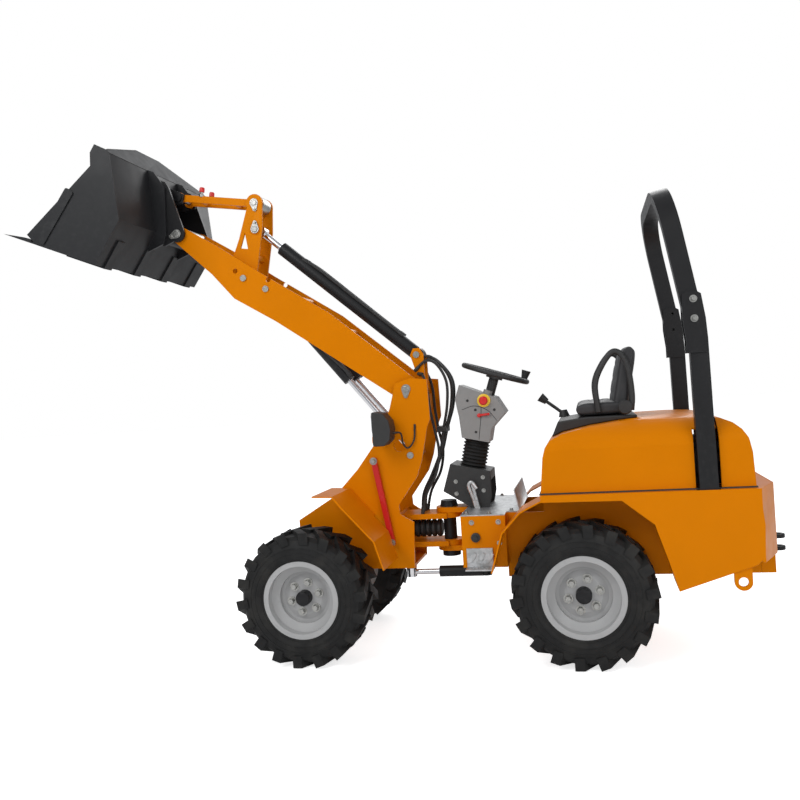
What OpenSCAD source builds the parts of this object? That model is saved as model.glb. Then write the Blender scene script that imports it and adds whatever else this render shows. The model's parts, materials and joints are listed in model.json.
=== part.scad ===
// Mini wheel loader: articulated frames, raised loader boom, quick hitch and bucket.
// Millimetres, +Z up, front towards -X. Modules work in machine coordinates, where the rear axle is x = 0,
// and placed() moves them so that the origin is at the bottom centre of the whole machine.

/* [Wheels] */
// Distance between the axles
wheelbase = 1200; // [1100:5:1300]
// Outer diameter of a tyre over its lugs
tyre_d = 596; // [560:2:620]
// Width of a tyre
tyre_w = 216; // [190:2:230]
// Distance between the tyres' middle planes
track = 694; // [670:2:720]
// Height of the bar lugs
lug_h = 18; // [14:1:26]
// Number of bar lugs on each half of a tyre
lug_count = 18; // [14:1:20]
// Outer diameter of the rim flanges
rim_d = 340; // [320:2:350]
// Diameter of the axle stubs
stub_d = 64; // [50:1:70]

/* [Loader] */
// Height of the boom pivot
boom_pivot_z = 1182; // [1120:2:1240]
// Length of the boom from its pivot to the hitch pin
boom_len = 1361; // [1250:5:1420]
// Angle of the boom above level
boom_angle = 37.2; // [33:0.1:40]
// Width over the boom plates
boom_w = 240; // [220:2:250]
// Thickness of the boom plates
boom_t = 12; // [8:1:14]
// Depth of the boom that its outline is a share of
boom_depth = 200; // [180:2:220]
// Length of the lever from its pivot to the link pin
lever_link_len = 368; // [340:2:390]
// Length of the lever from its pivot to the cylinder pin
lever_rod_len = 242; // [225:1:255]
// Diameter of the linkage pins
pin_d = 30; // [24:1:36]
// Diameter of the lift cylinders' barrels
lift_barrel_d = 56; // [48:1:60]
// Diameter of the tilt cylinder's barrel
tilt_barrel_d = 64; // [52:1:70]

/* [Bucket] */
// Width of the bucket
bucket_w = 960; // [880:5:1000]
// Depth of the floor from heel to cutting edge
bucket_floor = 496; // [440:2:540]
// Height of the side plates
bucket_h = 512; // [470:2:550]
// Thickness of the bucket's plates
bucket_t = 8; // [6:1:12]
// Angle of the floor, cutting edge up
bucket_angle = 22.4; // [16:0.2:28]

/* [Rear frame] */
// Width over the hood and the lower body
body_w = 860; // [820:2:880]
// Height of the lower body's top edge
body_top = 712; // [690:1:730]
// Length of the lower body behind the rear axle
body_rear = 768; // [730:2:800]
// Height of the hood over the lower body
hood_h = 288; // [260:2:310]
// Distance of the roll bar's posts inside the body's sides
rops_inset = 7; // [7:1:20]
// Height of the roll bar
rops_h = 1935; // [1850:5:2000]
// Outer diameter of the steering wheel
wheel_d = 320; // [280:2:340]

/* [Front frame] */
// Width over the mast plates
mast_w = 300; // [290:2:320]
// Height of the mast plates' top
mast_top = 1230; // [1180:2:1260]
// Thickness of the mast plates
mast_t = 12; // [8:1:16]
// Diameter of the articulation pin
hinge_d = 60; // [50:1:70]

/* [Hidden] */
$fn = 48;

// Overrun of cuts, running clearance of pins, and gap between faces of different bodies
over = 1;
fit = 0.05;
gap = 0.4;
plate = 6;
yellow = "orange";
black = [0.12, 0.12, 0.12];
zinc = "lightgray";

// Points of a share table, times a size, from a place
function outline(shares, size, at = [0, 0]) = [for (s = shares) [at.x + s.x * size.x, at.y + s.y * size.y]];
function polar(r, lean) = [r * sin(lean), r * cos(lean)];
function heading(p, q) = atan2(q.y - p.y, q.x - p.x);
function arc(r, from, to, at, steps = 8) =
    [for (i = [0:steps]) let (a = from + (to - from) * i / steps) at + r * [cos(a), sin(a)]];

// Places, as [x, z]
axle_z = tyre_d / 2;
front_axle_x = -wheelbase;
hinge_x = -wheelbase / 2;
tyre_y = track / 2;
pivot_set = 136;
boom_pivot = [hinge_x - pivot_set, boom_pivot_z];
boom_dir = [-cos(boom_angle), sin(boom_angle)];
boom_up = [sin(boom_angle), cos(boom_angle)];
function on_boom(along, up) = boom_pivot + boom_dir * along + boom_up * up;
hitch_at = on_boom(boom_len, 0);
lever_share = 0.704;
lever_at = on_boom(boom_len * lever_share, 0);
lever_link_lean = 9.4;
lever_rod_lean = 13.9;
link_rear = lever_at + polar(lever_link_len, lever_link_lean);
rod_at = lever_at + polar(lever_rod_len, lever_rod_lean);
hitch_len = 191.5;
hitch_lean = -4.2;
link_front = hitch_at + polar(hitch_len, hitch_lean);
tilt_base_rise = 156;
tilt_base_set = 37;
tilt_base = boom_pivot + [tilt_base_set, tilt_base_rise];
lift_share = 0.613;
lift_up = 17;
lift_top = on_boom(boom_len * lift_share, lift_up);
lift_drop = 302;
lift_foot = boom_pivot - [0, lift_drop];

// The bucket's heel, from the hitch pin, in the bucket's own directions
heel_ahead = 150.5;
heel_below = 249;
bucket_fwd = [-cos(bucket_angle), sin(bucket_angle)];
bucket_up = [sin(bucket_angle), cos(bucket_angle)];
heel = hitch_at + bucket_fwd * heel_ahead - bucket_up * heel_below;
lip = heel + bucket_fwd * bucket_floor;

// Tow hitch length, then the shift that centres the machine on the origin
tow_l = 84;
shift_x = -(lip.x + body_rear + tow_l) / 2;
module placed() { translate([shift_x, 0, 0]) children(); }

// Helpers: a pin along Y, a plate parallel to XZ, a frame from one point to another, a mirrored pair
module across(r, y0, y1, at = [0, 0]) {
    translate([at.x, y0, at.y]) rotate([-90, 0, 0]) cylinder(r = r, h = y1 - y0);
}
module upright(y0, t) { translate([0, y0 + t, 0]) rotate([90, 0, 0]) linear_extrude(t) children(); }
module between(p, q) { translate([p.x, 0, p.y]) rotate([0, -heading(p, q), 0]) children(); }
module pair() { children(); mirror([0, 1, 0]) children(); }
module boom_frame() {
    translate([boom_pivot.x, 0, boom_pivot.y]) rotate([0, boom_angle, 0]) mirror([1, 0, 0]) children();
}
module bucket_frame() {
    translate([heel.x, 0, heel.y]) rotate([0, bucket_angle, 0]) mirror([1, 0, 0]) children();
}
module block(x, y, z) { translate([x[0], y[0], z[0]]) cube([x[1] - x[0], y[1] - y[0], z[1] - z[0]]); }
// A path moved sideways by a distance, with mitred corners
function way(p, i) = let (k = max(0, min(len(p) - 2, i))) (p[k + 1] - p[k]) / norm(p[k + 1] - p[k]);
function shifted(p, by) = [for (i = [0:len(p) - 1])
    let (a = way(p, i - 1), b = way(p, i), n = [-a.y - b.y, a.x + b.x]) p[i] + 2 * by * n / (n * n)];
function reversed(p) = [for (i = [len(p) - 1:-1:0]) p[i]];
// A bent ribbon of one thickness along a path, and a strip of it across the machine
module ribbon(path, t) { polygon(concat(path, reversed(shifted(path, t)))); }
module strip(path, t, y0, y1) { upright(y0, y1 - y0) ribbon(path, t); }

// Wheels: a tyre and a rim are turned about the axle, then placed at each corner
rim_r = rim_d / 2;
rim_depth_share = 0.92;
rim_half = tyre_w * rim_depth_share / 2;
bead_drop = 17;
well_drop = 50;
bead_r = rim_r - bead_drop;
well_r = rim_r - well_drop;
rim_t = 5;
hub_r = 50;
disc_share = 0.25;
disc_y = rim_half * disc_share;
tread_r = tyre_d / 2 - lug_h;
lug_w = 40;
lug_skew_share = 0.32;
// Turns a lug's corner to the ground
lug_phase = 180 - 90 / lug_count - asin((lug_w + tyre_w * lug_skew_share) / tyre_d);

module turned() { rotate([90, 0, 0]) rotate_extrude($fn = 96) children(); }

// Columns: radius share from the rim's flange to the tread, half-width share
tyre_shares = [[0, 0.465], [0.25, 0.5], [0.55, 0.49], [0.82, 0.45], [0.96, 0.36], [1, 0]];

// Half of a tyre's section: sidewall and tread outside, then the hollow and the bead inside the flange
module tyre_half() {
    flange_r = rim_r + gap;
    seat_r = bead_r + gap;
    bead_y = rim_half - 2 * rim_t - gap;
    polygon(concat(
        [for (s = tyre_shares) [flange_r + s[0] * (tread_r - flange_r), s[1] * tyre_w]],
        [[seat_r + rim_t * 3, 0], [seat_r + rim_t * 3, bead_y - rim_t * 2], [seat_r, bead_y - rim_t * 1.5],
         [seat_r, bead_y], [flange_r, bead_y + rim_t]]));
}

module lug(side) {
    base_r = tread_r - lug_h * 2.2;
    reach = tyre_w * 0.49;
    skew = tyre_w * lug_skew_share;
    top = sqrt(pow(tyre_d / 2, 2) - pow(lug_w / 2 + skew / 2, 2));
    translate([0, 0, base_r]) linear_extrude(top - base_r) polygon([
        [-lug_w / 2 - skew / 2, -side * lug_h / 2], [lug_w / 2 - skew / 2, -side * lug_h / 2],
        [lug_w / 2 + skew / 2, side * reach], [-lug_w / 2 + skew / 2, side * reach]]);
}

module tyre() {
    color(black) {
        turned() { tyre_half(); mirror([0, 1]) tyre_half(); }
        for (side = [-1, 1], i = [0:lug_count - 1])
            rotate([0, (i + side / 4) * 360 / lug_count + lug_phase, 0]) lug(side);
    }
}

// The rim: flanges, bead seats, drop well and a dished disc with a hub bore
module rim(side) {
    color(zinc) mirror([0, side > 0 ? 1 : 0, 0]) turned() {
        polygon([
            [rim_r, rim_half], [rim_r, rim_half - rim_t], [bead_r, rim_half - rim_t * 2],
            [bead_r, rim_half * 0.55], [well_r, rim_half * 0.4], [well_r, -rim_half * 0.4],
            [bead_r, -rim_half * 0.55], [bead_r, rim_t * 2 - rim_half], [rim_r, rim_t - rim_half],
            [rim_r, -rim_half], [bead_r - rim_t, -rim_half], [bead_r - rim_t, -rim_half * 0.6],
            [well_r - rim_t, -rim_half * 0.45], [well_r - rim_t, rim_half * 0.45],
            [bead_r - rim_t, rim_half * 0.6], [bead_r - rim_t, rim_half]]);
        translate([0, disc_y])
            polygon([[stub_d / 2 + fit, 0], [stub_d / 2 + fit, rim_t * 2], [hub_r * 1.5, rim_t * 2],
                [hub_r * 2, 0], [well_r - rim_t / 2, 0], [well_r - rim_t / 2, -rim_t * 2],
                [hub_r * 1.9, -rim_t * 2], [hub_r * 1.45, 0]]);
    }
}

module at_wheel(x, side) { placed() translate([x, side * tyre_y, axle_z]) children(); }

// Side profile of the rear wheel arch, as shares of the arch's length and height
arch_l = 733;
arch_h = 368;
arch_front = 364;
arch_low = 316;
arch_at = [-arch_front, arch_low];
// Columns: x share, z share
arch_shares = [[0, 0.22], [0.07, 0.66], [0.177, 0.886], [0.292, 1], [0.73, 0.992], [0.894, 0.723],
    [0.958, 0.302], [1, 0]];
arch = outline(arch_shares, [arch_l, arch_h], arch_at);
skin = 6;
hood_front_x = arch[3].x + skin / 3;

// Rear frame: a bay behind the hinge, side plates, a floor and the upper and lower hinge lugs
frame_half = 232;
frame_bot = 340;
side_half = 300;
bay_set = 98;
bay_back = 54;
front_bay_x = [hinge_x + bay_set, arch_at.x + bay_back];
bay_z = [396, 618];
lug_t = 24;
hinge_up_z = 598;
hinge_low_z = 446;
frame_end = 60;
frame_rear = body_rear - frame_end;
floor_front = 149;

module hinge_lug(x_far, z, r, half) {
    translate([hinge_x, 0, z]) difference() {
        union() {
            cylinder(r = r, h = lug_t);
            translate([min(0, x_far), -half, 0]) cube([abs(x_far), 2 * half, lug_t]);
        }
        translate([0, 0, -over]) cylinder(r = hinge_d / 2 + fit, h = lug_t + 2 * over);
    }
}

module rear_frame() placed() color(yellow) {
    bay = front_bay_x;
    rail_top = body_top - skin;
    difference() {
        block(bay, [-side_half, side_half], bay_z);
        block([bay[0] + plate, bay[1] - plate], [plate - side_half, side_half - plate],
            [bay_z[0] - over, bay_z[1] - plate]);
    }
    pair() upright(-frame_half, plate) polygon([
        [bay[1] - plate, frame_bot], [frame_rear, frame_bot],
        [frame_rear, rail_top], [hood_front_x, rail_top],
        [hood_front_x, bay_z[1]], [bay[1] - plate, bay_z[1]]]);
    block([frame_rear - plate, frame_rear], [-frame_half, frame_half], [frame_bot, rail_top]);
    block([floor_front, frame_rear], [-frame_half, frame_half], [frame_bot, frame_bot + plate]);
    block(bay, [steer_rear.y - steer_d, steer_rear.y + steer_d], [bay_z[0], bay_z[0] + plate]);
    translate([steer_rear.x, steer_rear.y, steer_z - steer_eye])
        cylinder(r = pin_d / 2, h = bay_z[0] + plate / 2 - steer_z + steer_eye);
    hinge_lug(bay_set, hinge_up_z + gap, hinge_d, hinge_d);
    hinge_lug(bay_set + over, hinge_low_z - lug_t - gap, hinge_d, hinge_d);
}

pin_head = 28;
module articulation_pin() placed() color(black) translate([hinge_x, 0, 0]) {
    low = hinge_low_z - lug_t - gap;
    high = hinge_up_z + gap + lug_t;
    translate([0, 0, low - pin_head]) cylinder(r = hinge_d / 2, h = high - low + 2 * pin_head);
    translate([0, 0, low - pin_head]) cylinder(r = hinge_d * 0.7, h = pin_head);
    translate([0, 0, high]) cylinder(r1 = hinge_d * 0.7, r2 = hinge_d * 0.6, h = pin_head);
}

// The deck lies on the bay, narrows between the fenders and turns up ahead of the hood
deck_t = 5;
deck_rise = 100;
deck_lean = 12;
deck_back = 101;
deck_end = hood_front_x - deck_back;
module deck() placed() color(zinc) {
    narrow = frame_half - plate - gap;
    z = [bay_z[1], bay_z[1] + deck_t];
    block(front_bay_x, [-side_half, side_half], z);
    block([front_bay_x[1] - over, deck_end], [-narrow, narrow], z);
    translate([deck_end, 0, bay_z[1]]) rotate([0, -deck_lean, 0])
        block([-deck_t, 0], [-narrow, narrow], [0, deck_rise]);
}

step_out = 70;
step_drop = 84;
step_l = 113;
module steps() placed() color(zinc) pair() {
    x0 = arch_at.x - skin - gap - step_l;
    z0 = bay_z[0];
    difference() {
        block([x0, x0 + step_l], [-side_half - step_out, -side_half], [z0, z0 + plate]);
        for (i = [1:3]) translate([x0 + i * step_l / 4, -side_half - step_out / 2, z0 - over])
            cylinder(r = step_out / 8, h = plate + 2 * over);
    }
    block([x0, x0 + step_l], [-side_half - plate, -side_half], [z0, z0 + step_drop]);
}

// Arch strips, cut out round the bay
module rear_fenders() placed() color(yellow) difference() {
    pair() strip(arch, skin, -body_w / 2 + skin + gap, -frame_half);
    block([front_bay_x[0], front_bay_x[1] + gap], [-side_half - gap, side_half + gap],
        [bay_z[0] - body_top, bay_z[1] + deck_t + gap]);
}

// Side panels over the arch, with a rear wall that turns in at its corners
tail_set = 76;
tail_low = 100;
tail_step = 131;
tail_knee = 253;
wall_low = 110;
tail_x = body_rear - tail_set;
tail_y = body_w * 0.3;
side_outline = concat(
    [for (i = [3:7]) arch[i]],
    [[tail_x - skin * 5, arch_at.y + tail_low], [tail_x, arch_at.y + tail_step],
     [tail_x + skin, arch_at.y + tail_knee], [tail_x - skin, body_top], [arch[3].x, body_top]]);
module rear_body() placed() color(yellow) {
    low = arch_at.y + wall_low;
    half = body_w / 2;
    pair() upright(-half, skin) polygon(side_outline);
    translate([0, 0, low]) linear_extrude(body_top - low) polygon([
        [tail_x - skin * 2, -half], [tail_x, -half], [body_rear, -tail_y],
        [body_rear, tail_y], [tail_x, half],
        [tail_x - skin * 2, half], [tail_x - skin * 2, half - skin], [tail_x - skin / 2, half - skin],
        [body_rear - skin, tail_y - skin / 2], [body_rear - skin, skin / 2 - tail_y],
        [tail_x - skin / 2, skin - half], [tail_x - skin * 2, skin - half]]);
    pair() difference() {
        block([arch[3].x, tail_x - skin], [frame_half, half - skin / 2], [body_top - skin, body_top]);
        block(post_cut_x, [rops_w / 2 - rops_tube_y - plate, half - skin],
            [body_top - 2 * skin, body_top + skin]);
    }
    pair() block([frame_rear, body_rear - skin / 2], [frame_half - plate, frame_half],
        [frame_bot, frame_bot + arch_h / 2]);
}

// Hoods: a side profile and a cross-section give the form, which is hollowed by the same form inset
hood_wall = 5;
hood_set = 30;
hood_half = body_w / 2 - hood_set;
hood_end = tail_x - skin * 2;
lid_len = 134;
hood_split_x = hood_end - lid_len;
// Columns: x share of the hood's length, z share of its height
hood_shares = [[0, 0], [0.02, 0.52], [0.034, 0.66], [0.06, 0.76], [0.12, 0.84], [0.257, 0.92], [0.4, 0.97],
    [0.52, 0.995], [0.68, 1], [0.8, 0.985], [0.87, 0.945], [0.92, 0.88], [0.955, 0.79], [0.98, 0.67],
    [0.993, 0.48], [1, 0.04], [1, 0]];
// Columns: y share of the half-width, z share of its height
section_shares = [[-1, 0], [-1, 0.62], [-0.985, 0.72], [-0.945, 0.81], [-0.88, 0.9], [-0.81, 0.97],
    [-0.72, 1.02], [0.72, 1.02], [0.81, 0.97], [0.88, 0.9], [0.945, 0.81], [0.985, 0.72], [1, 0.62], [1, 0]];
module hood_form(inset) {
    length = hood_end - hood_front_x - 2 * inset;
    height = hood_h - inset;
    lift = inset > 0 ? over : 0;
    base = body_top + gap - lift;
    intersection() {
        upright(-body_w, 2 * body_w)
            polygon(outline(hood_shares, [length, height + lift], [hood_front_x + inset, base]));
        translate([hood_front_x - body_w, 0, 0]) rotate([90, 0, 90]) linear_extrude(3 * body_w)
            polygon(outline(section_shares, [hood_half - inset, height + lift], [0, base]));
    }
}
module hood_part(x0, x1) {
    difference() {
        hood_form(0);
        hood_form(hood_wall);
        block([x1, body_w * 3], [-body_w, body_w], [0, rops_h]);
        block([-body_w * 3, x0], [-body_w, body_w], [0, rops_h]);
        pair() block(post_cut_x, [-body_w, -rops_w / 2 + rops_tube_y + plate], [0, rops_h]);
    }
}
function hood_z(x) =
    body_top + gap + hood_h * lookup((x - hood_front_x) / (hood_end - hood_front_x), hood_shares);
// The lid turns on a thin hinge pin in the seam
lid_pin_r = 2.9;
lid_pin_at = [hood_split_x + lid_pin_r - gap / 2, hood_z(hood_split_x)];
module hood_front() placed() color(yellow) {
    hood_part(-body_w * 2, hood_split_x);
    across(lid_pin_r, -seat_half, seat_half, lid_pin_at);
}
module hood_rear() placed() color(yellow) hood_part(hood_split_x + plate, body_w * 2);

// Roll bar: two posts with bracket plates, and a hoop bolted between the plates
rops_w = body_w - 2 * rops_inset;
rops_tube_x = 70;
rops_tube_y = 48;
bolt_z = [1381, 1457];
bolt_x = 486;
foot_set = 19;
foot_x = bolt_x + foot_set;
post_lean_share = 0.1;
post_cut_x = [foot_x - rops_tube_x * (0.5 + post_lean_share) - plate, foot_x + rops_tube_x / 2 + plate];
bracket_t = 8;
hoop_lean = 9.6;
hoop_bend_share = 0.5;
// Columns: x share and z share of the tube's depth, from the lower bolt
bracket_shares = [[-0.5, -1.9], [0.55, -1.9], [0.66, -1.2], [0.6, 0], [0.42, 1.35], [0.2, 1.5], [-0.4, 1.5],
    [-0.6, 1.35], [-0.62, 0], [-0.5, -1.2]];
module rops_posts() placed() color(black) pair() {
    y0 = -rops_w / 2;
    post_low = body_top - rops_tube_x;
    post_top = bolt_z[0] - rops_tube_x;
    lean = rops_tube_x * post_lean_share;
    difference() {
        union() {
            upright(y0, rops_tube_y) polygon([
                [foot_x - rops_tube_x / 2, post_low], [foot_x + rops_tube_x / 2, post_low],
                [foot_x + rops_tube_x / 2 - lean, post_top], [foot_x - rops_tube_x / 2 - lean, post_top]]);
            for (y = [y0 - bracket_t, y0 + rops_tube_y])
                upright(y, bracket_t)
                    polygon(outline(bracket_shares, [rops_tube_x, rops_tube_x], [bolt_x, bolt_z[0]]));
            block([foot_x - rops_tube_x / 2, foot_x + rops_tube_x / 2], [y0 + rops_tube_y / 2, -frame_half],
                [post_low, post_low + plate * 2]);
        }
        for (z = bolt_z) across(plate, y0 - 2 * bracket_t, y0 + rops_tube_y + 2 * bracket_t, [bolt_x, z]);
    }
}
module rops_hoop() placed() color(black) translate([bolt_x, 0, bolt_z[0]]) rotate([0, -hoop_lean, 0]) {
    half = rops_w / 2 - gap;
    foot = -rops_tube_x * 0.45;
    top = (rops_h - bolt_z[0]) / cos(hoop_lean) - rops_tube_x / 2 * tan(hoop_lean);
    bend = half * hoop_bend_share;
    path = concat([[half, foot]], arc(bend, 0, 90, [half - bend, top - bend]),
        arc(bend, 90, 180, [bend - half, top - bend]), [[-half, foot]]);
    difference() {
        translate([-rops_tube_x / 2, 0, 0]) rotate([90, 0, 90]) linear_extrude(rops_tube_x)
            ribbon(path, rops_tube_y - 2 * gap);
        rotate([0, hoop_lean, 0]) for (z = bolt_z) across(plate, -rops_w, rops_w, [0, z - bolt_z[0]]);
    }
}

// Seat on the hood's top
seat_x = [-96, 262];
seat_half = 225;
seat_rise = 12;
seat_top = body_top + hood_h + seat_rise;
seat_front = [[seat_x[0] + plate * 5, seat_top - plate * 2], [seat_x[0] + plate * 24, seat_top]];
module seat_base() placed() color(black) upright(-seat_half, 2 * seat_half) polygon(concat(
    [[seat_x[0], hood_z(seat_x[0]) + gap], seat_front[0], seat_front[1], [seat_x[1], seat_top],
     [seat_x[1], hood_z(seat_x[1]) + gap]],
    reversed([for (s = hood_shares) let (x = hood_front_x + s.x * (hood_end - hood_front_x))
        if (x > seat_x[0] && x < seat_x[1]) [x, hood_z(x) + gap]])));
cushion_h = 66;
cushion_x = [12, 222];
module seat_cushion() placed() color(black)
    block(cushion_x, [-seat_half * 0.93, seat_half * 0.93], [seat_top + gap, seat_top + cushion_h]);
back_h = 292;
back_t = 62;
// Columns: x share of the backrest's thickness, z share of its height
back_shares = [[0.31, 0], [1, 0], [1.05, 0.4], [0.9, 1], [0.5, 1], [-0.5, 0.5], [-0.55, 0.35], [0.31, 0.25]];
module seat_back() placed() color(black) upright(-seat_half * 0.9, seat_half * 1.8)
    polygon(outline(back_shares, [back_t, back_h], [cushion_x[1] - back_t * 0.3, seat_top + gap]));
stick_l = 130;
stick_share = 0.15;
stick_lean = 45;
module joystick() placed() color(black) between(seat_front[0], seat_front[1])
    translate([norm(seat_front[1] - seat_front[0]) * stick_share, seat_half * 0.75, gap]) {
        cylinder(r1 = stick_l * 0.2, r2 = stick_l * 0.13, h = stick_l * 0.24);
        translate([0, 0, stick_l * 0.1]) rotate([0, -stick_lean, 0]) {
            cylinder(r = stick_l * 0.06, h = stick_l * 0.9);
            translate([0, 0, stick_l * 0.75])
                cylinder(r1 = stick_l * 0.11, r2 = stick_l * 0.17, h = stick_l * 0.3);
        }
    }

// Steering console and column
console_half = 95;
console_set = 6;
console_at = [hinge_x - console_set, bay_z[1] + deck_t];
console_size = [223, 204];
// Columns: x share, z share
console_shares = [[0.18, 1], [0.99, 0.8], [1, 0.28], [0.94, 0], [0.57, 0], [0, 0.39]];
module console() placed() color(black) difference() {
    upright(-console_half, 2 * console_half) polygon(outline(console_shares, console_size, console_at));
    block([console_at.x + console_size.x * 0.3, console_at.x + console_size.x * 2],
        [plate - console_half, console_half - plate],
        [console_at.y + plate, console_at.y + console_size.y * 0.6]);
}
// The column stands on the console's sloping top
column_share = 0.6;
console_top = outline([console_shares[0], console_shares[1]], console_size, console_at);
column_x = console_at.x + console_size.x * column_share;
column_at = [column_x, lookup(column_x, console_top)];
column_lean = -heading(console_top[0], console_top[1]);
bellows_h = 126;
bellows_r = 62;
rib_count = 8;
rib = bellows_h / rib_count;
module bellows() placed() color(black) translate([column_at.x, 0, column_at.y]) rotate([0, column_lean, 0])
    rotate_extrude() polygon(concat([[0, 0]],
        [for (i = [0:rib_count - 1]) each [[bellows_r * 0.84, i * rib], [bellows_r, (i + 0.5) * rib]]],
        [[bellows_r * 0.84, bellows_h], [0, bellows_h]]));
housing_size = [226, 270];
housing_half = 78;
housing_foot = [0.365, 0.057];
housing_at = column_at + polar(bellows_h, column_lean)
    - [housing_foot.x * housing_size.x, housing_foot.y * housing_size.y];
housing_fall = tan(column_lean) * housing_size.x / housing_size.y;
// Columns: x share, z share
housing_shares = [[0.1, 1], [0.56, 0.84], [0.82, 0.76], [1, 0.5], [0.7, 0.24],
    [0.64, housing_foot.y - (0.64 - housing_foot.x) * housing_fall],
    [0.09, housing_foot.y + (housing_foot.x - 0.09) * housing_fall], [0.06, 0.45], [0, 0.77]];
housing = outline(housing_shares, housing_size, housing_at);
button_r = 20;
module column_housing() placed() color("gray") {
    upright(-housing_half, 2 * housing_half) polygon(housing);
    between(housing[1], housing[2]) translate([button_r, -housing_half * 0.65, -over])
        cylinder(r = button_r, h = button_r);
}
steer_lean = 19;
steer_share = 0.42;
steer_at = housing[1] + (housing[2] - housing[1]) * steer_share;
steer_rise = 100;
steer_tube_r = 12;
module steering_wheel() placed() color(black)
    translate([steer_at.x, 0, steer_at.y]) rotate([0, steer_lean, 0]) {
    translate([0, 0, steer_rise]) rotate_extrude()
        translate([wheel_d / 2 - steer_tube_r, 0]) circle(r = steer_tube_r);
    translate([0, 0, over]) cylinder(r = wheel_d * 0.07, h = steer_rise - over);
    translate([0, 0, steer_rise - 2 * steer_tube_r]) cylinder(r = wheel_d * 0.12, h = steer_tube_r * 3);
    for (i = [0:2]) rotate([0, 0, i * 120]) translate([0, -steer_tube_r, steer_rise - steer_tube_r / 2])
        cube([wheel_d / 2 - steer_tube_r, 2 * steer_tube_r, steer_tube_r]);
    rotate([0, 0, 30]) translate([wheel_d / 2 - steer_tube_r, 0, steer_rise])
        cylinder(r1 = steer_tube_r, r2 = steer_tube_r * 1.8, h = steer_tube_r * 4);
}
pedal_w = 24;
module pedal() placed() color(zinc) {
    foot = [console_at.x + console_size.x * 0.7, console_at.y];
    rise = [-console_size.x * 0.12, console_size.y * 0.6];
    upright(-console_half - gap - pedal_w, pedal_w)
        polygon([foot, foot + [plate * 2, 0], foot + rise + [plate * 2, 0], foot + rise]);
}

// Engine block and axles
module engine() placed() color("dimgray")
    block([hood_front_x + body_w * 0.45, hood_end - body_w * 0.12],
        [plate * 4 - frame_half, frame_half - plate * 4], [frame_bot + plate, body_top + hood_h * 0.6]);
axle_r = 40;
flange_r = 80;
stub_out = 26;
rear_bulge_r = 92;
front_bulge_r = 64;
module axle(x, z_top, half, bulge_r) placed() color(black) {
    face = tyre_y + disc_y - gap;
    pair() {
        across(stub_d / 2, -face - stub_out, 0, [x, axle_z]);
        across(axle_r, -face + plate * 4, 0, [x, axle_z]);
        across(flange_r * 0.9, -face, -face + plate * 4, [x, axle_z]);
    }
    across(bulge_r, -flange_r, flange_r, [x, axle_z]);
    block([x - axle_r, x + axle_r], [-half, half], [axle_z, z_top]);
}
module rear_axle() axle(0, frame_bot, frame_half, rear_bulge_r);
module front_axle() axle(front_axle_x, mast_bot, mast_half, front_bulge_r);

// Tow hitch: a mounting plate and two jaws with a pin bore
tow_w = 52;
tow_z = 369;
tow_h = 104;
jaw_t = 18;
jaw_rise = 16;
jaw_gap = 34;
tow_bore_r = 10.4;
module tow_hitch() placed() color(black) {
    pin_x = body_rear + tow_l - tow_w / 2;
    block([body_rear, body_rear + plate * 2], [-tow_w, tow_w], [tow_z, tow_z + tow_h]);
    for (z = [tow_z + jaw_rise, tow_z + jaw_rise + jaw_t + jaw_gap]) translate([0, 0, z]) difference() {
        union() {
            block([body_rear, pin_x], [-tow_w / 2, tow_w / 2], [0, jaw_t]);
            translate([pin_x, 0, 0]) cylinder(r = tow_w / 2, h = jaw_t);
        }
        translate([pin_x, 0, -over]) cylinder(r = tow_bore_r, h = jaw_t + 2 * over);
    }
}
eye_l = 84;
module lashing_eyes() placed() color(yellow) pair() {
    at = [tail_x - eye_l, arch_at.y + eye_l * 0.4];
    y = [-body_w / 2 + skin, -body_w / 2 + skin * 3];
    difference() {
        union() {
            block([at.x - eye_l * 0.4, at.x + eye_l * 0.4], y, [at.y, arch_at.y + eye_l * 1.4]);
            across(eye_l * 0.4, y[0], y[1], at);
        }
        across(eye_l * 0.22, -body_w, body_w, at);
    }
}

// Front frame: mast plates, floor, cross walls and hinge lugs
mast_bot = 365;
mast_ahead = 90;
mast_back = 35;
mast_at = [front_axle_x - mast_ahead, mast_bot];
mast_size = [hinge_x - mast_back - mast_at.x, mast_top - mast_bot];
mast_half = mast_w / 2;
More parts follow.
